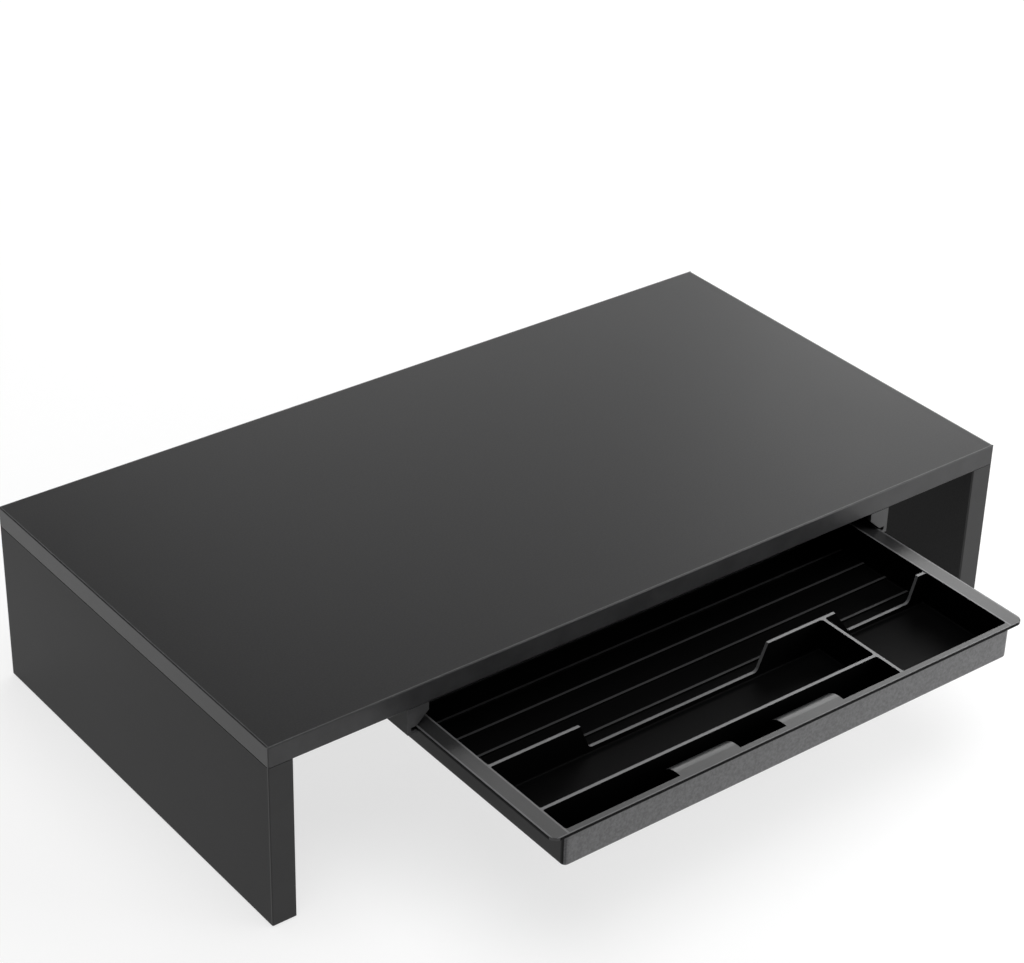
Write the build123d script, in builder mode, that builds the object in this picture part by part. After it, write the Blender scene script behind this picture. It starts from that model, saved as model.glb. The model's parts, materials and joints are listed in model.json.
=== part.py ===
from build123d import *
from math import radians, tan
import os

# A free-standing laptop stand: a wide board on two side panels, and under the board
# a shallow moulded tray that slides by its side flanges in two channel rails.
# Millimetres. The origin is on the floor at the middle of everything the object covers
# with its tray pulled out; +X to the right, +Y to the back, +Z up. Its front faces -Y.

# ---------------------------------------------------------------- stand
stand_width = 480.0
stand_depth = 260.0
stand_height = 108.0
top_thickness = 12.0
side_thickness = 14.0
edging_thickness = 1.0
edging_round = 0.6
pad_thickness = 1.0
pad_width = 10.0
pad_length = 40.0
pad_corner = 2.0
pad_inset = 12.0
insert_clearance = 0.05

# ---------------------------------------------------------------- joints of board and side panels
dowel_diameter = 6.0
dowel_length = 30.0
dowel_depth_in_top = 8.0
dowel_chamfer = 0.8
dowel_setback = 30.0
cam_setback = 62.0
cam_diameter = 15.0
cam_drop = 24.0
cam_backing = 2.0
cam_recess_diameter = 4.2
cam_recess_depth = 2.0
cam_slot_length = 7.5
cam_slot_width = 1.2
cam_neck_sweep = 90.0
bolt_thread_diameter = 5.0
bolt_thread_length = 8.0
bolt_collar_diameter = 7.0
bolt_collar_height = 2.0
bolt_shank_diameter = 5.0
bolt_neck_diameter = 3.2
bolt_neck_above_cam = 1.0
bolt_head_diameter = 6.0
bolt_head_height = 3.0
bolt_bore_diameter = 7.4
cap_overlap = 1.0
cap_thickness = 0.8
hole_end_gap = 0.5

# ---------------------------------------------------------------- rails
rail_height = 15.3
rail_wall = 2.2
rail_top_flange = 2.4
rail_bottom_flange = 1.6
rail_corner = 0.6
rail_stop_thickness = 3.0
rail_stop_slant_width = 7.4
rail_stop_slant_height = 6.8
rail_end_thickness = 2.5
rail_screw_count = 3
rail_screw_inset = 25.0
screw_diameter = 3.5
screw_head_diameter = 6.8
screw_head_angle = 90.0
screw_length = 9.5
screw_tip = 1.5
screw_slot_length = 3.6
screw_slot_width = 0.8
screw_slot_depth = 1.0
driver_hole_diameter = 8.0

# ---------------------------------------------------------------- tray
tray_length = 242.0
tray_width = 310.0
tray_height = 20.8
tray_wall = 1.8
tray_floor = 1.8
tray_pulled_out = 107.8
rim_thickness = 1.6
rim_side_overhang = 8.0
rim_end_overhang = 1.8
rim_corner = 5.0
rim_round = 0.4
box_corner = 3.0
box_bottom_round = 1.5
bin_corner = 1.6
bin_floor_round = 1.0
divider_thickness = 1.8
divider_drop = 0.5
front_lane_depth = 17.9
pen_lane_depth = 38.7
pen_lane_round = 10.0
right_bin_width = 73.5
notch_sill = 3.2
notch_flare = 6.4
bin_notch_left_flare = 11.0
bin_notch_right_flare = 5.0
notch_round = 3.0
high_stretch_left = 55.2
high_stretch_before_bin = 38.1
high_stretch_after_bin = 8.5
high_stretch_right = 5.9
floor_rib_pitch = 16.9
floor_rib_first = 9.8
floor_rib_width = 1.5
floor_rib_height = 1.0
ramp_width = 38.0
ramp_pitch = 68.0
ramp_center_x = -22.0
ramp_top_drop = 1.0
ramp_foot_gap = 2.5
ramp_brow_round = 11.4
runner_length = 55.0
runner_wall = 2.0
runner_stop_thickness = 2.4

# ---------------------------------------------------------------- running clearances
rim_seat_gap = 0.1
rim_side_clearance = 3.3
box_side_clearance = 0.6
stop_over_rim = 0.6
runner_top_clearance = 0.2
runner_edge_inset = 0.5
closed_inset = 1.0
closed_rear_gap = 0.5

# ---------------------------------------------------------------- places worked out from the sizes
joint_height = stand_height - top_thickness
front_y = (tray_pulled_out - stand_depth) / 2
rear_y = front_y + stand_depth
middle_y = (front_y + rear_y) / 2
side_outer_x = stand_width / 2
side_inner_x = side_outer_x - side_thickness
side_middle_x = side_outer_x - side_thickness / 2
core_depth = stand_depth - 2 * edging_thickness
panel_height = joint_height - pad_thickness
dowel_ys = (front_y + dowel_setback, rear_y - dowel_setback)
cam_ys = (front_y + cam_setback, rear_y - cam_setback)
cam_z = joint_height - cam_drop
cam_hole_depth = side_thickness - cam_backing
cam_depth = cam_hole_depth - hole_end_gap
cap_diameter = cam_diameter + 2 * cap_overlap

rim_half_width = tray_width / 2
box_half_width = rim_half_width - rim_side_overhang
bin_half_width = box_half_width - tray_wall

web_inner_x = rim_half_width + rim_side_clearance
web_outer_x = web_inner_x + rail_wall
flange_inner_x = box_half_width + box_side_clearance
flange_middle_x = (web_inner_x + flange_inner_x) / 2
rail_bottom_z = joint_height - rail_height
channel_floor_z = rail_bottom_z + rail_bottom_flange
channel_roof_z = joint_height - rail_top_flange
rail_length = closed_inset + tray_length + closed_rear_gap + rail_end_thickness
rail_rear_y = front_y + rail_length
rail_screw_span = rail_length - 2 * rail_screw_inset
rail_screw_pitch = rail_screw_span / (rail_screw_count - 1)

rim_under_z = channel_floor_z + rim_seat_gap
rim_top_z = rim_under_z + rim_thickness
tray_bottom_z = rim_top_z - tray_height
tray_floor_z = tray_bottom_z + tray_floor
divider_top_z = rim_top_z - divider_drop
notch_z = tray_floor_z + notch_sill

tray_front_y = front_y - tray_pulled_out
tray_rear_y = tray_front_y + tray_length
tray_middle_y = (tray_front_y + tray_rear_y) / 2
box_length = tray_length - 2 * rim_end_overhang
bin_front_y = tray_front_y + rim_end_overhang + tray_wall
bin_rear_y = tray_rear_y - rim_end_overhang - tray_wall
front_divider_y = bin_front_y + front_lane_depth
pen_lane_front_y = front_divider_y + divider_thickness
mid_divider_y = pen_lane_front_y + pen_lane_depth
rear_bin_front_y = mid_divider_y + divider_thickness
bin_divider_right_x = bin_half_width - right_bin_width
bin_divider_left_x = bin_divider_right_x - divider_thickness
bin_divider_x = (bin_divider_left_x + bin_divider_right_x) / 2

sides = ((-1, "left"), (1, "right"))
ends = ((-1, "front", front_y), (1, "rear", rear_y))

os.makedirs("parts", exist_ok=True)


def save(piece, name):
    """Labels a finished piece and writes it under its own name."""
    piece.part.label = name
    export_step(piece.part, f"parts/{name}.step")


def rail_screw_points(side):
    """Centres of one rail's screws, in plan."""
    first_y = front_y + rail_screw_inset
    return [(side * flange_middle_x, first_y + i * rail_screw_pitch) for i in range(rail_screw_count)]


dowel_points = [(side * side_middle_x, y) for side in (-1, 1) for y in dowel_ys]
bolt_points = [(side * side_middle_x, y) for side in (-1, 1) for y in cam_ys]

# ================================================================ top board and its edging
dowel_bore_radius = dowel_diameter / 2 + insert_clearance
screw_hole_depth = screw_length - rail_top_flange + hole_end_gap

with BuildPart() as top_board:
    with BuildSketch(Plane.XY.offset(joint_height)):
        with Locations((0, middle_y)):
            Rectangle(stand_width - 2 * edging_thickness, core_depth)
    extrude(amount=top_thickness)
    with BuildSketch(Plane.XY.offset(joint_height)):
        with Locations(*dowel_points):
            Circle(dowel_bore_radius)
    extrude(amount=dowel_depth_in_top + hole_end_gap, mode=Mode.SUBTRACT)
    with BuildSketch(Plane.XY.offset(joint_height)):
        with Locations(*bolt_points):
            Circle(bolt_thread_diameter / 2 + insert_clearance)
    extrude(amount=bolt_thread_length + hole_end_gap, mode=Mode.SUBTRACT)
    with BuildSketch(Plane.XY.offset(joint_height)):
        with Locations(*rail_screw_points(-1), *rail_screw_points(1)):
            Circle(screw_diameter / 2 + insert_clearance)
    extrude(amount=screw_hole_depth, mode=Mode.SUBTRACT)
save(top_board, "top_board")

for sign, end, end_y in ends:
    with BuildPart() as top_end_edging:
        with BuildSketch(Plane.XY.offset(joint_height)):
            with Locations((0, end_y - sign * edging_thickness / 2)):
                Rectangle(stand_width, edging_thickness)
        extrude(amount=top_thickness)
        outer_face = faces().sort_by(Axis.Y)[-1 if sign > 0 else 0]
        fillet(outer_face.edges(), edging_round)
    save(top_end_edging, f"top_{end}_edging")

for side, hand in sides:
    with BuildPart() as top_side_edging:
        with BuildSketch(Plane.XY.offset(joint_height)):
            with Locations((side * (stand_width - edging_thickness) / 2, middle_y)):
                Rectangle(edging_thickness, core_depth)
        extrude(amount=top_thickness)
        outer_face = faces().sort_by(Axis.X)[-1 if side > 0 else 0]
        fillet(outer_face.edges().filter_by(Axis.Y), edging_round)
    save(top_side_edging, f"top_{hand}_edging")

# ================================================================ side panels and their edging
bolt_bore_depth = cam_drop + bolt_head_height / 2 + hole_end_gap
dowel_bore_depth = dowel_length - dowel_depth_in_top + hole_end_gap

for side, hand in sides:
    with BuildPart() as side_panel:
        with BuildSketch(Plane.XY.offset(pad_thickness)):
            with Locations((side * side_middle_x, middle_y)):
                Rectangle(side_thickness, core_depth)
        extrude(amount=panel_height)
        with BuildSketch(Plane.XY.offset(joint_height)):
            with Locations(*[(side * side_middle_x, y) for y in dowel_ys]):
                Circle(dowel_bore_radius)
        extrude(amount=-dowel_bore_depth, mode=Mode.SUBTRACT)
        with BuildSketch(Plane.XY.offset(joint_height)):
            with Locations(*[(side * side_middle_x, y) for y in cam_ys]):
                Circle(bolt_bore_diameter / 2)
        extrude(amount=-bolt_bore_depth, mode=Mode.SUBTRACT)
        with BuildSketch(Plane.YZ.offset(side * side_inner_x)):
            with Locations(*[(y, cam_z) for y in cam_ys]):
                Circle(cam_diameter / 2)
        extrude(amount=side * cam_hole_depth, mode=Mode.SUBTRACT)
    save(side_panel, f"{hand}_side_panel")

    for sign, end, end_y in ends:
        with BuildPart() as panel_edging:
            with BuildSketch(Plane.XY.offset(pad_thickness)):
                with Locations((side * side_middle_x, end_y - sign * edging_thickness / 2)):
                    Rectangle(side_thickness, edging_thickness)
            extrude(amount=panel_height)
            outer_face = faces().sort_by(Axis.Y)[-1 if sign > 0 else 0]
            fillet(outer_face.edges().filter_by(Axis.Z), edging_round)
        save(panel_edging, f"{hand}_panel_{end}_edging")

# ================================================================ dowels, cam bolts, cam locks, caps
with BuildPart() as dowels:
    with BuildSketch(Plane.XY.offset(joint_height + dowel_depth_in_top)):
        with Locations(*dowel_points):
            Circle(dowel_diameter / 2)
    extrude(amount=-dowel_length)
    chamfer(edges().filter_by(GeomType.CIRCLE), dowel_chamfer)
save(dowels, "dowels")

# One bolt on the Z axis, with the joint between board and panel at z = 0.
head_top = -cam_drop + bolt_head_height / 2
head_bottom = head_top - bolt_head_height
neck_top = -cam_drop + cam_diameter / 2 + bolt_neck_above_cam
with BuildPart() as cam_bolt:
    with BuildSketch(Plane.XZ):
        with BuildLine():
            Polyline(
                (0, bolt_thread_length),
                (bolt_thread_diameter / 2, bolt_thread_length),
                (bolt_thread_diameter / 2, 0),
                (bolt_collar_diameter / 2, 0),
                (bolt_collar_diameter / 2, -bolt_collar_height),
                (bolt_shank_diameter / 2, -bolt_collar_height),
                (bolt_shank_diameter / 2, neck_top),
                (bolt_neck_diameter / 2, neck_top),
                (bolt_neck_diameter / 2, head_top),
                (bolt_head_diameter / 2, head_top),
                (bolt_head_diameter / 2, head_bottom),
                (0, head_bottom),
                close=True,
            )
        make_face()
    revolve(axis=Axis.Z)
    head_rim = edges().filter_by(GeomType.CIRCLE).sort_by(Axis.Z)[0]
    fillet(head_rim, bolt_head_height / 4)

with BuildPart() as cam_bolts:
    with Locations(*[(x, y, joint_height) for x, y in bolt_points]):
        add(cam_bolt.part)
save(cam_bolts, "cam_bolts")

# One cam lock with its axis along X, its open face at x = 0 and its body toward +X.
# The bolt comes down on the panel's middle plane. The head went in through the side bore
# and sits in the room at the middle; turning the cam swept the slot up to the bolt's neck.
cam_radius = cam_diameter / 2 - insert_clearance
bolt_plane_x = side_thickness / 2
neck_slot_width = bolt_neck_diameter + 2 * hole_end_gap
head_room_radius = bolt_head_diameter / 2 + hole_end_gap
head_room_height = bolt_head_height + 2 * hole_end_gap
with BuildPart() as cam_lock:
    with BuildSketch(Plane.YZ):
        Circle(cam_radius)
    extrude(amount=cam_depth)
    with BuildSketch(Plane.XY.offset(-head_room_height / 2)):
        with Locations((bolt_plane_x, 0)):
            Circle(head_room_radius)
    extrude(amount=head_room_height, mode=Mode.SUBTRACT)
    with BuildSketch(Plane.XZ):
        with Locations((bolt_plane_x, 0)):
            Circle(head_room_radius)
    extrude(amount=-cam_diameter, mode=Mode.SUBTRACT)
    with BuildSketch(Plane.XY):
        with Locations((bolt_plane_x, 0)):
            Circle(neck_slot_width / 2)
    extrude(amount=cam_diameter, mode=Mode.SUBTRACT)
    with BuildSketch(Plane.YZ.offset(bolt_plane_x)):
        with BuildLine():
            CenterArc((0, 0), cam_diameter, 90 - cam_neck_sweep, cam_neck_sweep)
            Line((0, 0), (0, cam_diameter))
            PolarLine((0, 0), cam_diameter, 90 - cam_neck_sweep)
        make_face()
    extrude(amount=neck_slot_width / 2, both=True, mode=Mode.SUBTRACT)
    with BuildSketch(Plane.YZ):
        Circle(cam_recess_diameter / 2)
        Rectangle(cam_slot_length, cam_slot_width)
        Rectangle(cam_slot_width, cam_slot_length)
    extrude(amount=cam_recess_depth, mode=Mode.SUBTRACT)

with BuildPart() as cam_locks:
    with Locations(*[(side_inner_x, y, cam_z) for y in cam_ys]):
        add(cam_lock.part)
    mirror(about=Plane.YZ)
save(cam_locks, "cam_locks")

cap_plug_radius = cam_recess_diameter / 2 - insert_clearance
cap_plug_length = cam_recess_depth - hole_end_gap
with BuildPart() as cam_caps:
    with BuildSketch(Plane.YZ.offset(side_inner_x)):
        with Locations(*[(y, cam_z) for y in cam_ys]):
            Circle(cap_diameter / 2)
    extrude(amount=-cap_thickness)
    fillet(faces().sort_by(Axis.X)[0:2].edges(), cap_thickness / 2)
    with BuildSketch(Plane.YZ.offset(side_inner_x)):
        with Locations(*[(y, cam_z) for y in cam_ys]):
            Circle(cap_plug_radius)
    extrude(amount=cap_plug_length)
    mirror(about=Plane.YZ)
save(cam_caps, "cam_caps")

# ================================================================ foot pads
pad_spacing_y = stand_depth - 2 * pad_inset - pad_length
with BuildPart() as foot_pads:
    with BuildSketch(Plane.XY):
        with Locations((0, middle_y)):
            with GridLocations(2 * side_middle_x, pad_spacing_y, 2, 2):
                RectangleRounded(pad_width, pad_length, pad_corner)
    extrude(amount=pad_thickness)
save(foot_pads, "foot_pads")

# ================================================================ rails
flange_width = web_outer_x - flange_inner_x
channel_width = web_inner_x - flange_inner_x
channel_height = channel_roof_z - channel_floor_z
channel_middle_z = (channel_roof_z + channel_floor_z) / 2
stop_bottom_z = rim_top_z + stop_over_rim
stop_lip_z = stop_bottom_z + rail_stop_slant_height
stop_slant_x = flange_inner_x + rail_stop_slant_width
screw_sink_radius = screw_head_diameter / 2

for side, hand in sides:
    with BuildPart() as rail:
        with BuildSketch(Plane.XZ.offset(-front_y)):
            with Locations((side * (web_outer_x + flange_inner_x) / 2, joint_height - rail_height / 2)):
                Rectangle(flange_width, rail_height)
            with Locations((side * flange_middle_x, channel_middle_z)):
                Rectangle(channel_width, channel_height, mode=Mode.SUBTRACT)
            web_side = vertices().group_by(Axis.X)[-2 if side > 0 else 1]
            outer_side = vertices().group_by(Axis.X)[-1 if side > 0 else 0]
            fillet([*web_side, outer_side.sort_by(Axis.Y)[0]], rail_corner)
        extrude(amount=-rail_length)
        # front stop, slanted at its lower inner corner so that it clears the rim
        with BuildSketch(Plane.XZ.offset(-front_y)):
            with BuildLine():
                Polyline(
                    (side * flange_inner_x, channel_roof_z),
                    (side * web_inner_x, channel_roof_z),
                    (side * web_inner_x, stop_bottom_z),
                    (side * stop_slant_x, stop_bottom_z),
                    (side * flange_inner_x, stop_lip_z),
                    close=True,
                )
            make_face()
        extrude(amount=-rail_stop_thickness)
        with BuildSketch(Plane.XZ.offset(-rail_rear_y)):
            with Locations((side * flange_middle_x, channel_middle_z)):
                Rectangle(channel_width, channel_height)
        extrude(amount=rail_end_thickness)
        for x, y in rail_screw_points(side):
            with Locations(Plane((x, y, channel_roof_z), x_dir=(1, 0, 0), z_dir=(0, 0, -1))):
                CounterSinkHole(
                    screw_diameter / 2 + insert_clearance,
                    screw_sink_radius + insert_clearance,
                    rail_top_flange,
                    screw_head_angle,
                )
            with BuildSketch(Plane.XY.offset(rail_bottom_z)):
                with Locations((x, y)):
                    Circle(driver_hole_diameter / 2)
            extrude(amount=rail_bottom_flange, mode=Mode.SUBTRACT)
    save(rail, f"{hand}_rail")

# One screw on the Z axis, head face at z = 0 and tip up.
screw_cone = (screw_sink_radius - screw_diameter / 2) / tan(radians(screw_head_angle / 2))
with BuildPart() as rail_screw:
    with BuildSketch(Plane.XZ):
        with BuildLine():
            Polyline(
                (0, 0),
                (screw_sink_radius, 0),
                (screw_diameter / 2, screw_cone),
                (screw_diameter / 2, screw_length - screw_tip),
                (0, screw_length),
                close=True,
            )
        make_face()
    revolve(axis=Axis.Z)
    with BuildSketch(Plane.XY):
        Rectangle(screw_slot_length, screw_slot_width)
        Rectangle(screw_slot_width, screw_slot_length)
    extrude(amount=screw_slot_depth, mode=Mode.SUBTRACT)

with BuildPart() as rail_screws:
    with Locations(*[(x, y, channel_roof_z) for x, y in rail_screw_points(-1) + rail_screw_points(1)]):
        add(rail_screw.part)
save(rail_screws, "rail_screws")

# ================================================================ drawer tray


# left, right, front and back of each compartment: rear bin, pen lane, front lane, right bin
bins = (
    (-bin_half_width, bin_half_width, rear_bin_front_y, bin_rear_y),
    (-bin_half_width, bin_divider_left_x, pen_lane_front_y, mid_divider_y),
    (-bin_half_width, bin_divider_left_x, bin_front_y, front_divider_y),
    (bin_divider_right_x, bin_half_width, bin_front_y, mid_divider_y),
)

# left and right ends of each lowered stretch of the middle divider, with its two flares
notches = (
    (
        -bin_half_width + high_stretch_left,
        bin_divider_x - high_stretch_before_bin,
        notch_flare,
        notch_flare,
    ),
    (
        bin_divider_x + high_stretch_after_bin,
        bin_half_width - high_stretch_right,
        bin_notch_left_flare,
        bin_notch_right_flare,
    ),
)

sweep_y = pen_lane_front_y + pen_lane_round
sweep_z = tray_floor_z + pen_lane_round
ramp_top_z = rim_top_z - ramp_top_drop
ramp_rear_y = front_divider_y - ramp_foot_gap
ramp_middle_y = (bin_front_y + ramp_rear_y) / 2
ramp_depth = ramp_rear_y - bin_front_y
rear_bin_depth = bin_rear_y - rear_bin_front_y
floor_rib_count = int((rear_bin_depth - floor_rib_first) / floor_rib_pitch) + 1
runner_outer_x = rim_half_width - runner_edge_inset
runner_inner_x = flange_inner_x + runner_edge_inset
runner_height = channel_roof_z - runner_top_clearance - rim_top_z
runner_rear_y = tray_rear_y - rim_corner
runner_front_y = runner_rear_y - runner_length
runner_middle_y = (runner_front_y + runner_rear_y) / 2
runner_wall_x = runner_outer_x - runner_wall / 2
runner_stop_x = (runner_outer_x + runner_inner_x) / 2

with BuildPart() as drawer_tray:
    # box and rim
    with BuildSketch(Plane.XY.offset(tray_bottom_z)):
        with Locations((0, tray_middle_y)):
            RectangleRounded(2 * box_half_width, box_length, box_corner)
    extrude(amount=tray_height)
    fillet(faces().sort_by(Axis.Z)[0].edges(), box_bottom_round)
    with BuildSketch(Plane.XY.offset(rim_under_z)):
        with Locations((0, tray_middle_y)):
            RectangleRounded(tray_width, tray_length, rim_corner)
    extrude(amount=rim_thickness)
    fillet(faces().sort_by(Axis.Z)[-1].edges(), rim_round)

    # compartments, with a small round where their walls meet the floor
    for left, right, front, back in bins:
        with BuildSketch(Plane.XY.offset(tray_floor_z)):
            with Locations(((left + right) / 2, (front + back) / 2)):
                RectangleRounded(right - left, back - front, bin_corner)
        extrude(amount=tray_height, mode=Mode.SUBTRACT)
    fillet(edges().filter_by_position(Axis.Z, tray_floor_z, tray_floor_z), bin_floor_round)

    # dividers end a little below the rim, and the middle one has two lowered stretches
    with BuildSketch(Plane.XY.offset(divider_top_z)):
        with Locations((0, (bin_front_y + bin_rear_y) / 2)):
            RectangleRounded(2 * bin_half_width, bin_rear_y - bin_front_y, bin_corner)
    extrude(amount=divider_drop, mode=Mode.SUBTRACT)
    for left, right, left_flare, right_flare in notches:
        with BuildSketch(Plane.XZ.offset(-mid_divider_y)):
            with BuildLine():
                Polyline(
                    (left, divider_top_z),
                    (left + left_flare, notch_z),
                    (right - right_flare, notch_z),
                    (right, divider_top_z),
                    close=True,
                )
            make_face()
            fillet(vertices().group_by(Axis.Y)[0], notch_round)
        extrude(amount=-divider_thickness, mode=Mode.SUBTRACT)

    # the pen lane's floor sweeps up to the front divider
    with BuildSketch(Plane.YZ.offset(-bin_half_width)):
        with BuildLine():
            CenterArc((sweep_y, sweep_z), pen_lane_round, 180, 90)
            Polyline(
                (sweep_y, tray_floor_z),
                (pen_lane_front_y, tray_floor_z),
                (pen_lane_front_y, sweep_z),
            )
        make_face()
    extrude(amount=bin_half_width + bin_divider_left_x)

    # low ribs across the rear bin's floor
    with BuildSketch(Plane.XY.offset(tray_floor_z)):
        for i in range(floor_rib_count):
            with Locations((0, rear_bin_front_y + floor_rib_first + i * floor_rib_pitch)):
                Rectangle(2 * bin_half_width, floor_rib_width)
    extrude(amount=floor_rib_height)

    # two finger ramps against the front wall, hollow underneath
    for i in (-1, 1):
        ramp_left_x = ramp_center_x + i * ramp_pitch / 2 - ramp_width / 2
        with BuildSketch(Plane.YZ.offset(ramp_left_x)) as ramp_profile:
            with Locations((ramp_middle_y, (tray_floor_z + ramp_top_z) / 2)):
                Rectangle(ramp_depth, ramp_top_z - tray_floor_z)
            brow = vertices().group_by(Axis.Y)[-1].sort_by(Axis.X)[-1]
            fillet(brow, ramp_brow_round)
        extrude(amount=ramp_width)
        with BuildSketch(Plane.YZ.offset(ramp_left_x + tray_wall)):
            offset(ramp_profile.sketch_local, amount=-tray_wall)
            with Locations((ramp_middle_y, tray_floor_z)):
                Rectangle(ramp_depth - 2 * tray_wall, 2 * tray_floor)
        extrude(amount=ramp_width - 2 * tray_wall, mode=Mode.SUBTRACT)

    # runners on the rear of the side flanges keep the pulled-out tray level and meet the rail stops
    for side, hand in sides:
        with BuildSketch(Plane.XY.offset(rim_top_z)):
            with Locations((side * runner_wall_x, runner_middle_y)):
                Rectangle(runner_wall, runner_length)
            with Locations((side * runner_stop_x, runner_front_y + runner_stop_thickness / 2)):
                Rectangle(runner_outer_x - runner_inner_x, runner_stop_thickness)
        extrude(amount=runner_height)
save(drawer_tray, "drawer_tray")
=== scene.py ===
import json
from math import cos, pi, radians, sin

import bpy
from mathutils import Euler, Matrix, Vector


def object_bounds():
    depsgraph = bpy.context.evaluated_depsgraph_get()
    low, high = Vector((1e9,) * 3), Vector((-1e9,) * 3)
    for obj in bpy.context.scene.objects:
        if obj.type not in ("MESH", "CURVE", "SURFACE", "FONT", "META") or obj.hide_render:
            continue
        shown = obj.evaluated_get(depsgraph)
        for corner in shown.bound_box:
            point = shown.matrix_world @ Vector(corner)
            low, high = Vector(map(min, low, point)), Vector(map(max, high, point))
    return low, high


# The looks of a black laptop stand with a pulled-out drawer tray. Metres, in the frame's own axes:
# +X right, +Y back, +Z up, floor at z = 0.

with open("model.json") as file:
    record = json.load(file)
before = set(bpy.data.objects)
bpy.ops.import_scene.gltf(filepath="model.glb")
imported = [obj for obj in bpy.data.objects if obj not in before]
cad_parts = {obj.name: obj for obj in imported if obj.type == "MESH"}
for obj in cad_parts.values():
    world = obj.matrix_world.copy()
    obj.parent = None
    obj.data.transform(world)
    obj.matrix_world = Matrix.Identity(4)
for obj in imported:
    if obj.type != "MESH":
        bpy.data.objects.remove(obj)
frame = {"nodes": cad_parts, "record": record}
nodes = frame["nodes"]
cad_low, cad_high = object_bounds()

MM = 0.001

# ---------------------------------------------------------------- sizes that the materials follow
top_thickness = 12.0 * MM

tray_height = 20.8 * MM
tray_floor = 1.8 * MM
tray_wall = 1.8 * MM
rim_thickness = 1.6 * MM
rim_side_overhang = 8.0 * MM
rim_end_overhang = 1.8 * MM
front_lane_depth = 17.9 * MM
pen_lane_round = 10.0 * MM
divider_thickness = 1.8 * MM
divider_drop = 0.5 * MM
low_stretch_rise = 3.2 * MM
floor_rib_height = 1.0 * MM
ramp_drop = 1.0 * MM
ramp_gap = 2.5 * MM

# ---------------------------------------------------------------- places, from the CAD and the sizes
board_under = cad_high[2] - top_thickness

tray_points = [vertex.co for vertex in nodes["drawer_tray"].data.vertices]
rim_half_width = max(point.x for point in tray_points)
tray_front = min(point.y for point in tray_points)
tray_rear = max(point.y for point in tray_points)
tray_bottom = min(point.z for point in tray_points)

rim_top = tray_bottom + tray_height
rim_under = rim_top - rim_thickness
divider_top = rim_top - divider_drop
ramp_top = rim_top - ramp_drop
floor_top = tray_bottom + tray_floor
floor_rib_top = floor_top + floor_rib_height
low_stretch_top = floor_top + low_stretch_rise
bin_half_width = rim_half_width - rim_side_overhang - tray_wall
bin_front = tray_front + rim_end_overhang + tray_wall
bin_rear = tray_rear - rim_end_overhang - tray_wall
front_divider = bin_front + front_lane_depth
pen_lane_front = front_divider + divider_thickness
ramp_rear = front_divider - ramp_gap


# ---------------------------------------------------------------- node helpers
def grey(shade):
    """A near-neutral grey of a moulding, a touch cooler than plain grey."""
    return (shade, shade, shade * 1.03)


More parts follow.
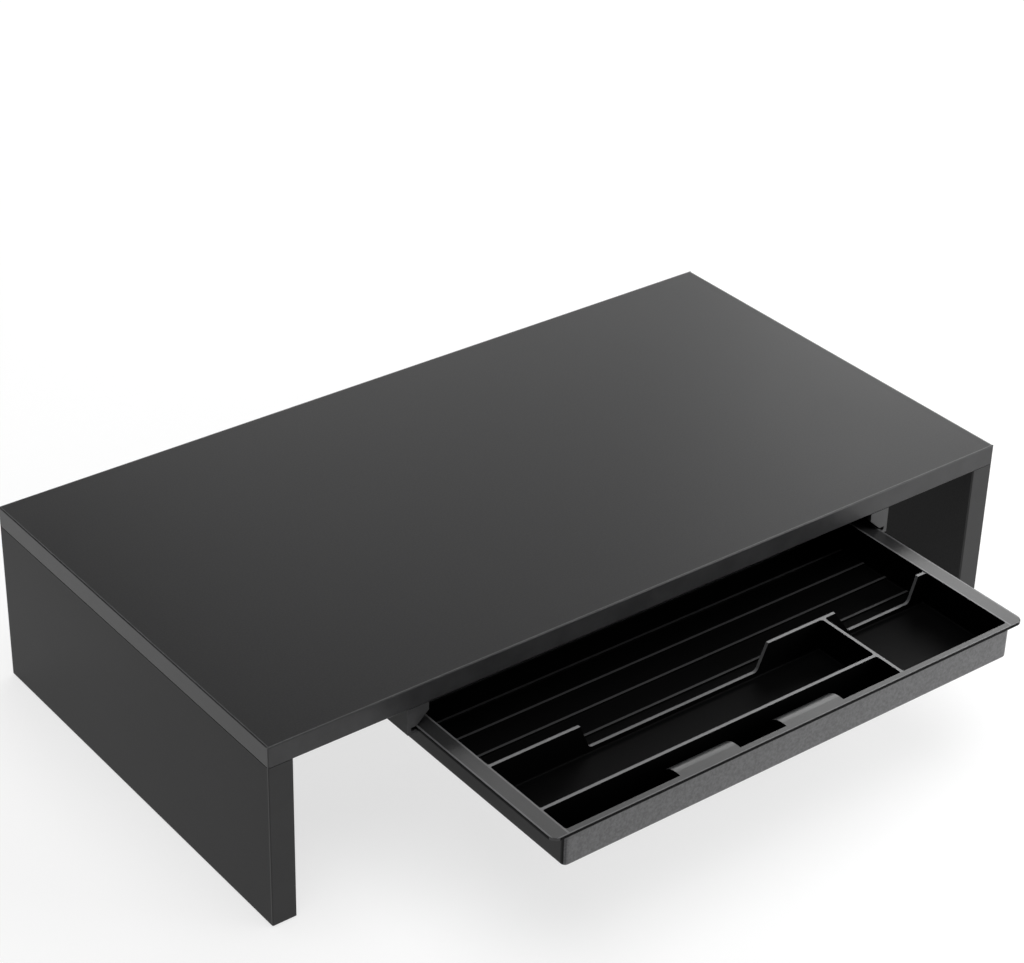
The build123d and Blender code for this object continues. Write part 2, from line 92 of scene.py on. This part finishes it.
class Maker:
    """Builds one material's node tree, with short calls for the nodes it uses."""

    usual_noise = (0.3, 0.7)
    middle_noise = (0.35, 0.65)

    def __init__(self, name):
        self.material = bpy.data.materials.new(name)
        self.material.use_nodes = True
        self.tree = self.material.node_tree
        self.tree.nodes.clear()
        output = self.tree.nodes.new("ShaderNodeOutputMaterial")
        self.shader = self.tree.nodes.new("ShaderNodeBsdfPrincipled")
        self.link(self.shader.outputs["BSDF"], output.inputs["Surface"])
        coordinates = self.tree.nodes.new("ShaderNodeTexCoord")
        self.place = coordinates.outputs["Object"]
        self.facing = coordinates.outputs["Normal"]

    def link(self, source, target):
        self.tree.links.new(source, target)

    def set(self, **values):
        """Sets uniform values on the shader's own sockets, as in set(Roughness=0.4)."""
        for name, value in values.items():
            self.shader.inputs[name.replace("_", " ")].default_value = value

    def stretched(self, scale):
        """Object coordinates scaled by a vector, for streaks."""
        mapping = self.tree.nodes.new("ShaderNodeMapping")
        mapping.inputs["Scale"].default_value = scale
        self.link(self.place, mapping.inputs["Vector"])
        return mapping.outputs["Vector"]

    def noise(self, size, detail=2.0, roughness=0.5, place=None):
        """Noise whose features are about size metres across, as a factor from 0 to 1."""
        texture = self.tree.nodes.new("ShaderNodeTexNoise")
        texture.inputs["Scale"].default_value = 1.0 / size
        texture.inputs["Detail"].default_value = detail
        texture.inputs["Roughness"].default_value = roughness
        self.link(place or self.place, texture.inputs["Vector"])
        return texture.outputs["Fac"]

    def remap(self, value, source, target=(0.0, 1.0)):
        """Carries a value from one range over to another, clamped."""
        node = self.tree.nodes.new("ShaderNodeMapRange")
        node.inputs["From Min"].default_value = source[0]
        node.inputs["From Max"].default_value = source[1]
        node.inputs["To Min"].default_value = target[0]
        node.inputs["To Max"].default_value = target[1]
        self.link(value, node.inputs["Value"])
        return node.outputs["Result"]

    def spread(self, noise, low, high):
        """A value that follows a noise between two limits."""
        return self.remap(noise, self.usual_noise, (low, high))

    def math(self, operation, first, second):
        node = self.tree.nodes.new("ShaderNodeMath")
        node.operation = operation
        for socket, value in zip(node.inputs, (first, second)):
            if isinstance(value, (int, float)):
                socket.default_value = value
            else:
                self.link(value, socket)
        return node.outputs["Value"]

    def parts_of(self, vector):
        """The three components of a vector socket."""
        node = self.tree.nodes.new("ShaderNodeSeparateXYZ")
        self.link(vector, node.inputs["Vector"])
        return node.outputs

    def above(self, value, limit):
        """1 where a value is over a limit, else 0."""
        return self.math("GREATER_THAN", value, limit)

    def below(self, value, limit):
        """1 where a value is under a limit, else 0."""
        return self.math("LESS_THAN", value, limit)

    def within(self, value, low, high):
        """1 where a value lies between two limits, else 0."""
        return self.all_of(self.above(value, low), self.below(value, high))

    def all_of(self, *factors):
        result = factors[0]
        for factor in factors[1:]:
            result = self.math("MULTIPLY", result, factor)
        return result

    def any_of(self, *factors):
        result = factors[0]
        for factor in factors[1:]:
            result = self.math("MAXIMUM", result, factor)
        return result

    def none_of(self, *factors):
        return self.math("SUBTRACT", 1.0, self.any_of(*factors))

    def blend(self, factor, first, second):
        """Mixes two colours, each an RGB tuple or a socket, by a factor socket."""
        node = self.tree.nodes.new("ShaderNodeMix")
        node.data_type = "RGBA"
        self.link(factor, node.inputs["Factor"])
        colour_inputs = [s for s in node.inputs if s.type == "RGBA"]
        for socket, colour in zip(colour_inputs, (first, second)):
            if isinstance(colour, tuple):
                socket.default_value = (*colour, 1.0)
            else:
                self.link(colour, socket)
        return [s for s in node.outputs if s.type == "RGBA"][0]

    def vary(self, noise, dark, pale):
        """A colour that follows a noise between two others."""
        return self.blend(self.remap(noise, self.middle_noise), dark, pale)

    def bump(self, height, depth, below=None):
        """Adds a bump of the given depth in metres, over an earlier bump if there is one."""
        node = self.tree.nodes.new("ShaderNodeBump")
        node.inputs["Strength"].default_value = 1.0
        node.inputs["Distance"].default_value = depth
        self.link(height, node.inputs["Height"])
        if below is not None:
            self.link(below, node.inputs["Normal"])
        return node.outputs["Normal"]

    def finish(self, colour, roughness, normal=None, metallic=None):
        """Links what varies over the surface to the shader, and gives the material."""
        self.link(colour, self.shader.inputs["Base Color"])
        self.link(roughness, self.shader.inputs["Roughness"])
        if normal is not None:
            self.link(normal, self.shader.inputs["Normal"])
        if metallic is not None:
            self.link(metallic, self.shader.inputs["Metallic"])
        return self.material


# ---------------------------------------------------------------- materials
def board_laminate():
    """Black melamine with a fine pebbled grain and faint handling marks."""
    m = Maker("board_laminate")
    m.set(Specular_IOR_Level=0.08)
    grain = m.noise(0.9 * MM, detail=3.0, roughness=0.6)
    pores = m.noise(0.35 * MM, detail=1.0)
    handling = m.noise(60 * MM, detail=3.0)
    colour = m.vary(grain, grey(0.009), grey(0.014))
    roughness = m.math("ADD", m.spread(handling, 0.315, 0.335), m.spread(grain, -0.02, 0.02))
    normal = m.bump(grain, 0.018 * MM)
    normal = m.bump(pores, 0.006 * MM, normal)
    return m.finish(colour, roughness, normal)


def edge_strip():
    """Black edging with the same grain, rubbed in patches, with painted light making it paler on the
    board than on the legs.
    """
    m = Maker("edge_strip")
    m.set(Specular_IOR_Level=0.3)
    grain = m.noise(0.7 * MM, detail=3.0, roughness=0.6)
    rubbed = m.noise(14 * MM, detail=4.0, roughness=0.65)
    seam_margin = 0.1 * MM
    on_board = m.above(m.parts_of(m.place)[2], board_under - seam_margin)
    on_legs_colour = m.vary(rubbed, grey(0.009), grey(0.012))
    # painted light: the board's edging is a paler copy of the legs' black
    board_edge_painted_light = m.vary(rubbed, grey(0.022), grey(0.030))
    colour = m.blend(on_board, on_legs_colour, board_edge_painted_light)
    roughness = m.spread(rubbed, 0.30, 0.36)
    normal = m.bump(grain, 0.015 * MM)
    return m.finish(colour, roughness, normal)


def tray_plastic():
    """Black moulded plastic: a satin rim and ramps; painted highlights on the divider tops, the rib
    tops and along the rim's top; a coarser front face that is paler partly from its texture and
    partly by painted light; painted shade on the box's side walls, and dead matt black painted shade
    inside the compartments and round the rim's edge."""
    m = Maker("tray_plastic")
    m.set(Specular_IOR_Level=0.5)
    texture = m.noise(0.45 * MM, detail=2.0, roughness=0.7)
    mottle = m.noise(1.5 * MM, detail=3.0, roughness=0.6)
    flow = m.noise(35 * MM, detail=2.0, place=m.stretched((1.0, 0.25, 1.0)))
    x, y, z = m.parts_of(m.place)
    from_middle = m.math("ABSOLUTE", x, 0.0)
    up = m.parts_of(m.facing)[2]
    faces_up = m.above(up, 0.2)
    lies_flat = m.above(up, 0.9)

    # how far a zone reaches past the surfaces that it takes in, or stops short of the next
    hair = 0.02 * MM
    near = 0.1 * MM
    clear = 0.2 * MM
    loose = 0.6 * MM

    # inside the compartments: painted highlights on the divider and rib tops, painted shade on all
    # but the ramps
    in_bins = m.all_of(
        m.below(from_middle, bin_half_width + near),
        m.within(y, bin_front - near, bin_rear + near),
        m.within(z, floor_top - tray_floor / 2, rim_top - hair),
    )
    raised = m.all_of(in_bins, m.above(z, low_stretch_top - loose), faces_up)
    pen_sweep = m.all_of(
        m.within(y, pen_lane_front - near, pen_lane_front + pen_lane_round + loose),
        m.below(z, divider_top - clear),
    )
    at_ramps = m.all_of(
        m.within(y, bin_front - loose, ramp_rear + loose),
        m.below(z, ramp_top + clear),
    )
    ramps = m.all_of(raised, at_ramps)
    divider_highlights = m.all_of(raised, m.none_of(pen_sweep, at_ramps))
    rib_highlights = m.all_of(in_bins, m.within(z, floor_rib_top - near, floor_rib_top + near), lies_flat)
    bin_painted_shade = m.all_of(in_bins, m.none_of(ramps, divider_highlights, rib_highlights))

    # the rim's outer edge, painted in shade, and painted highlights along its top
    edge_reach = 0.15 * MM
    inner_line = 1.0 * MM
    side_line = 1.1 * MM
    front_line = 0.8 * MM
    rim_edge_painted_shade = m.all_of(
        m.any_of(
            m.above(from_middle, rim_half_width - edge_reach),
            m.below(y, tray_front + edge_reach),
        ),
        m.within(z, rim_under - near, rim_top - near),
    )
    rim_painted_highlights = m.all_of(
        m.within(z, rim_top - clear, rim_top + near),
        m.any_of(
            m.within(from_middle, bin_half_width - near, bin_half_width + inner_line),
            m.above(from_middle, rim_half_width - side_line),
            m.below(y, tray_front + front_line),
        ),
    )

    # the box outside, under the rim
    outside = m.below(z, rim_under - near / 2)
    face = m.all_of(outside, m.below(y, bin_front - loose))
    shaded_sides = m.all_of(outside, m.above(from_middle, bin_half_width + clear))
    painted_shade = m.any_of(bin_painted_shade, rim_edge_painted_shade)

    colour = m.vary(texture, grey(0.010), grey(0.016))
    # painted shade: the box's side walls darker than the rest of the moulding
    colour = m.blend(shaded_sides, colour, grey(0.006))
    # the front face paler, partly from its coarser texture and partly as painted light
    colour = m.blend(face, colour, m.vary(mottle, grey(0.050), grey(0.090)))
    # painted highlights along the rib tops on the compartment floors
    colour = m.blend(rib_highlights, colour, grey(0.028))
    # painted highlights along the rim's top edges
    colour = m.blend(rim_painted_highlights, colour, grey(0.075))
    # painted highlights on the divider tops
    colour = m.blend(divider_highlights, colour, grey(0.09))
    # painted shade inside the compartments and round the rim's outer edge
    colour = m.blend(painted_shade, colour, grey(0.004))
    painted_shade_roughness = 0.6
    roughness = m.any_of(m.spread(flow, 0.29, 0.34), m.math("MULTIPLY", painted_shade, painted_shade_roughness))
    # a metallic base as dark as these colours takes away the plain plastic's pale reflection, so the
    # painted shade stays dark
    sides_metallic = 0.9
    metallic = m.any_of(painted_shade, m.math("MULTIPLY", shaded_sides, sides_metallic))
    normal = m.bump(texture, 0.01 * MM)
    normal = m.bump(flow, 0.04 * MM, normal)
    return m.finish(colour, roughness, normal, metallic)


def smooth_plastic(name, shade):
    """Black moulded plastic of the rails and caps, matt and nearly smooth, with pale scuffs."""
    m = Maker(name)
    m.set(Specular_IOR_Level=0.35)
    texture = m.noise(0.6 * MM, detail=2.0)
    scuffs = m.noise(12 * MM, detail=4.0, roughness=0.7, place=m.stretched((1.0, 0.2, 1.0)))
    scuffed = m.remap(scuffs, (0.5, 0.75))
    scuff_gain = 1.35
    colour = m.blend(scuffed, grey(shade), grey(shade * scuff_gain))
    roughness = m.spread(scuffs, 0.38, 0.5)
    normal = m.bump(texture, 0.015 * MM)
    return m.finish(colour, roughness, normal)


def beech():
    """Plain turned dowel wood with lengthwise grain."""
    m = Maker("beech")
    fibres = m.noise(0.8 * MM, detail=3.0, place=m.stretched((1.0, 1.0, 0.08)))
    colour = m.vary(fibres, (0.50, 0.34, 0.20), (0.66, 0.50, 0.33))
    roughness = m.spread(fibres, 0.55, 0.7)
    return m.finish(colour, roughness, m.bump(fibres, 0.04 * MM))


def plated_metal(name, dark, pale, smoothest, roughest):
    """Plated steel or zinc with a mottled, slightly worn surface."""
    m = Maker(name)
    m.set(Metallic=1.0)
    mottle = m.noise(1.6 * MM, detail=4.0, roughness=0.6)
    colour = m.vary(mottle, dark, pale)
    roughness = m.spread(mottle, smoothest, roughest)
    return m.finish(colour, roughness, m.bump(mottle, 0.01 * MM))


def pad_rubber():
    """Soft matt foot pads with a fine open texture."""
    m = Maker("pad_rubber")
    texture = m.noise(0.5 * MM, detail=3.0)
    colour = m.vary(texture, (0.018, 0.018, 0.018), (0.03, 0.03, 0.03))
    roughness = m.spread(texture, 0.75, 0.9)
    return m.finish(colour, roughness, m.bump(texture, 0.06 * MM))


def floor_paint():
    """White sweep, lit from below as well, so that shadows on it stay pale."""
    m = Maker("floor_paint")
    white = (1.0, 1.0, 1.0, 1.0)
    m.set(Emission_Color=white, Emission_Strength=0.70, Specular_IOR_Level=0.1)
    cloud = m.noise(400 * MM, detail=2.0)
    colour = m.blend(cloud, (0.29, 0.29, 0.29), (0.30, 0.30, 0.30))
    roughness = m.spread(cloud, 0.75, 0.85)
    return m.finish(colour, roughness)


materials = {
    "board_laminate": board_laminate(),
    "edge_strip": edge_strip(),
    "tray_plastic": tray_plastic(),
    "rail_plastic": smooth_plastic("rail_plastic", 0.030),
    "cap_plastic": smooth_plastic("cap_plastic", 0.018),
    "beech": beech(),
    "zinc": plated_metal("zinc", (0.42, 0.42, 0.44), (0.58, 0.58, 0.60), 0.3, 0.45),
    "screw_steel": plated_metal("screw_steel", (0.05, 0.05, 0.055), (0.09, 0.09, 0.095), 0.3, 0.42),
    "pad_rubber": pad_rubber(),
}

for part in frame["record"]["subparts"]:
    mesh = nodes[part["node"]].data
    mesh.materials.clear()
    mesh.materials.append(materials[part["material_slot"]])

# ---------------------------------------------------------------- floor
floor_half = 14.0
floor_mesh = bpy.data.meshes.new("floor")
floor_corners = [(-floor_half, -floor_half, 0), (floor_half, -floor_half, 0)]
floor_corners += [(floor_half, floor_half, 0), (-floor_half, floor_half, 0)]
floor_mesh.from_pydata(floor_corners, [], [(0, 1, 2, 3)])
floor_mesh.materials.append(floor_paint())
floor = bpy.data.objects.new("floor", floor_mesh)
bpy.context.scene.collection.objects.link(floor)


# ---------------------------------------------------------------- camera
def look(azimuth, elevation):
    """Rotation of a level camera or lamp that looks along an azimuth and down by an elevation."""
    return Euler((pi / 2 - elevation, 0.0, -azimuth)).to_matrix()


def direction(azimuth, elevation):
    """Unit vector along an azimuth (from +Y towards +X) and down by an elevation."""
    return Vector((sin(azimuth) * cos(elevation), cos(azimuth) * cos(elevation), -sin(elevation)))


camera_aim = Vector((21.5, 78.8, 84.0)) * MM
camera_distance = 1513.5 * MM
camera_azimuth = radians(38.182)
camera_elevation = radians(31.318)
camera_roll = radians(1.556)

camera_data = bpy.data.cameras.new("camera")
camera_data.lens = 95.54
camera_data.sensor_width = 36.0
camera_data.clip_end = 30.0
camera = bpy.data.objects.new("camera", camera_data)
camera_turn = look(camera_azimuth, camera_elevation) @ Matrix.Rotation(camera_roll, 3, "Z")
camera_place = camera_aim - camera_distance * direction(camera_azimuth, camera_elevation)
camera.matrix_world = Matrix.Translation(camera_place) @ camera_turn.to_4x4()
bpy.context.scene.collection.objects.link(camera)
bpy.context.scene.camera = camera


# ---------------------------------------------------------------- light
def softbox(name, azimuth, elevation, distance, width, height, watts):
    """A rectangular area lamp that shines on the stand along an azimuth, down by an elevation,
    both in degrees, from a distance in metres."""
    data = bpy.data.lights.new(name, "AREA")
    data.shape = "RECTANGLE"
    data.size = width
    data.size_y = height
    data.energy = watts
    lamp = bpy.data.objects.new(name, data)
    angles = radians(azimuth), radians(elevation)
    place = -distance * direction(*angles)
    lamp.matrix_world = Matrix.Translation(place) @ look(*angles).to_4x4()
    bpy.context.scene.collection.objects.link(lamp)


softbox("overhead", azimuth=20, elevation=82, distance=2.6, width=2.4, height=2.4, watts=58)
softbox("back_right", azimuth=246, elevation=25, distance=1.8, width=1.1, height=0.8, watts=7.5)
softbox("back", azimuth=214, elevation=19, distance=2.2, width=2.0, height=0.8, watts=16)
softbox("back_high", azimuth=220, elevation=39, distance=2.2, width=1.2, height=0.5, watts=4)
softbox("front_fill", azimuth=318, elevation=22, distance=0.9, width=0.5, height=0.5, watts=5)

# a dim grey surround, a little brighter low down than overhead
surround_grey = (0.05, 0.05, 0.05, 1.0)
low_strength = 0.9
high_strength = 0.3
fade_from = radians(12)
fade_to = radians(34)

world = bpy.data.worlds.new("studio")
world.use_nodes = True
sky = world.node_tree
background = sky.nodes["Background"]
background.inputs["Color"].default_value = surround_grey
sky_direction = sky.nodes.new("ShaderNodeTexCoord").outputs["Generated"]
split = sky.nodes.new("ShaderNodeSeparateXYZ")
sky.links.new(sky_direction, split.inputs["Vector"])
fade = sky.nodes.new("ShaderNodeMapRange")
fade.interpolation_type = "SMOOTHSTEP"
fade.inputs["From Min"].default_value = sin(fade_from)
fade.inputs["From Max"].default_value = sin(fade_to)
fade.inputs["To Min"].default_value = low_strength
fade.inputs["To Max"].default_value = high_strength
sky.links.new(split.outputs["Z"], fade.inputs["Value"])
sky.links.new(fade.outputs["Result"], background.inputs["Strength"])
bpy.context.scene.world = world
bpy.context.scene.view_settings.view_transform = "Standard"
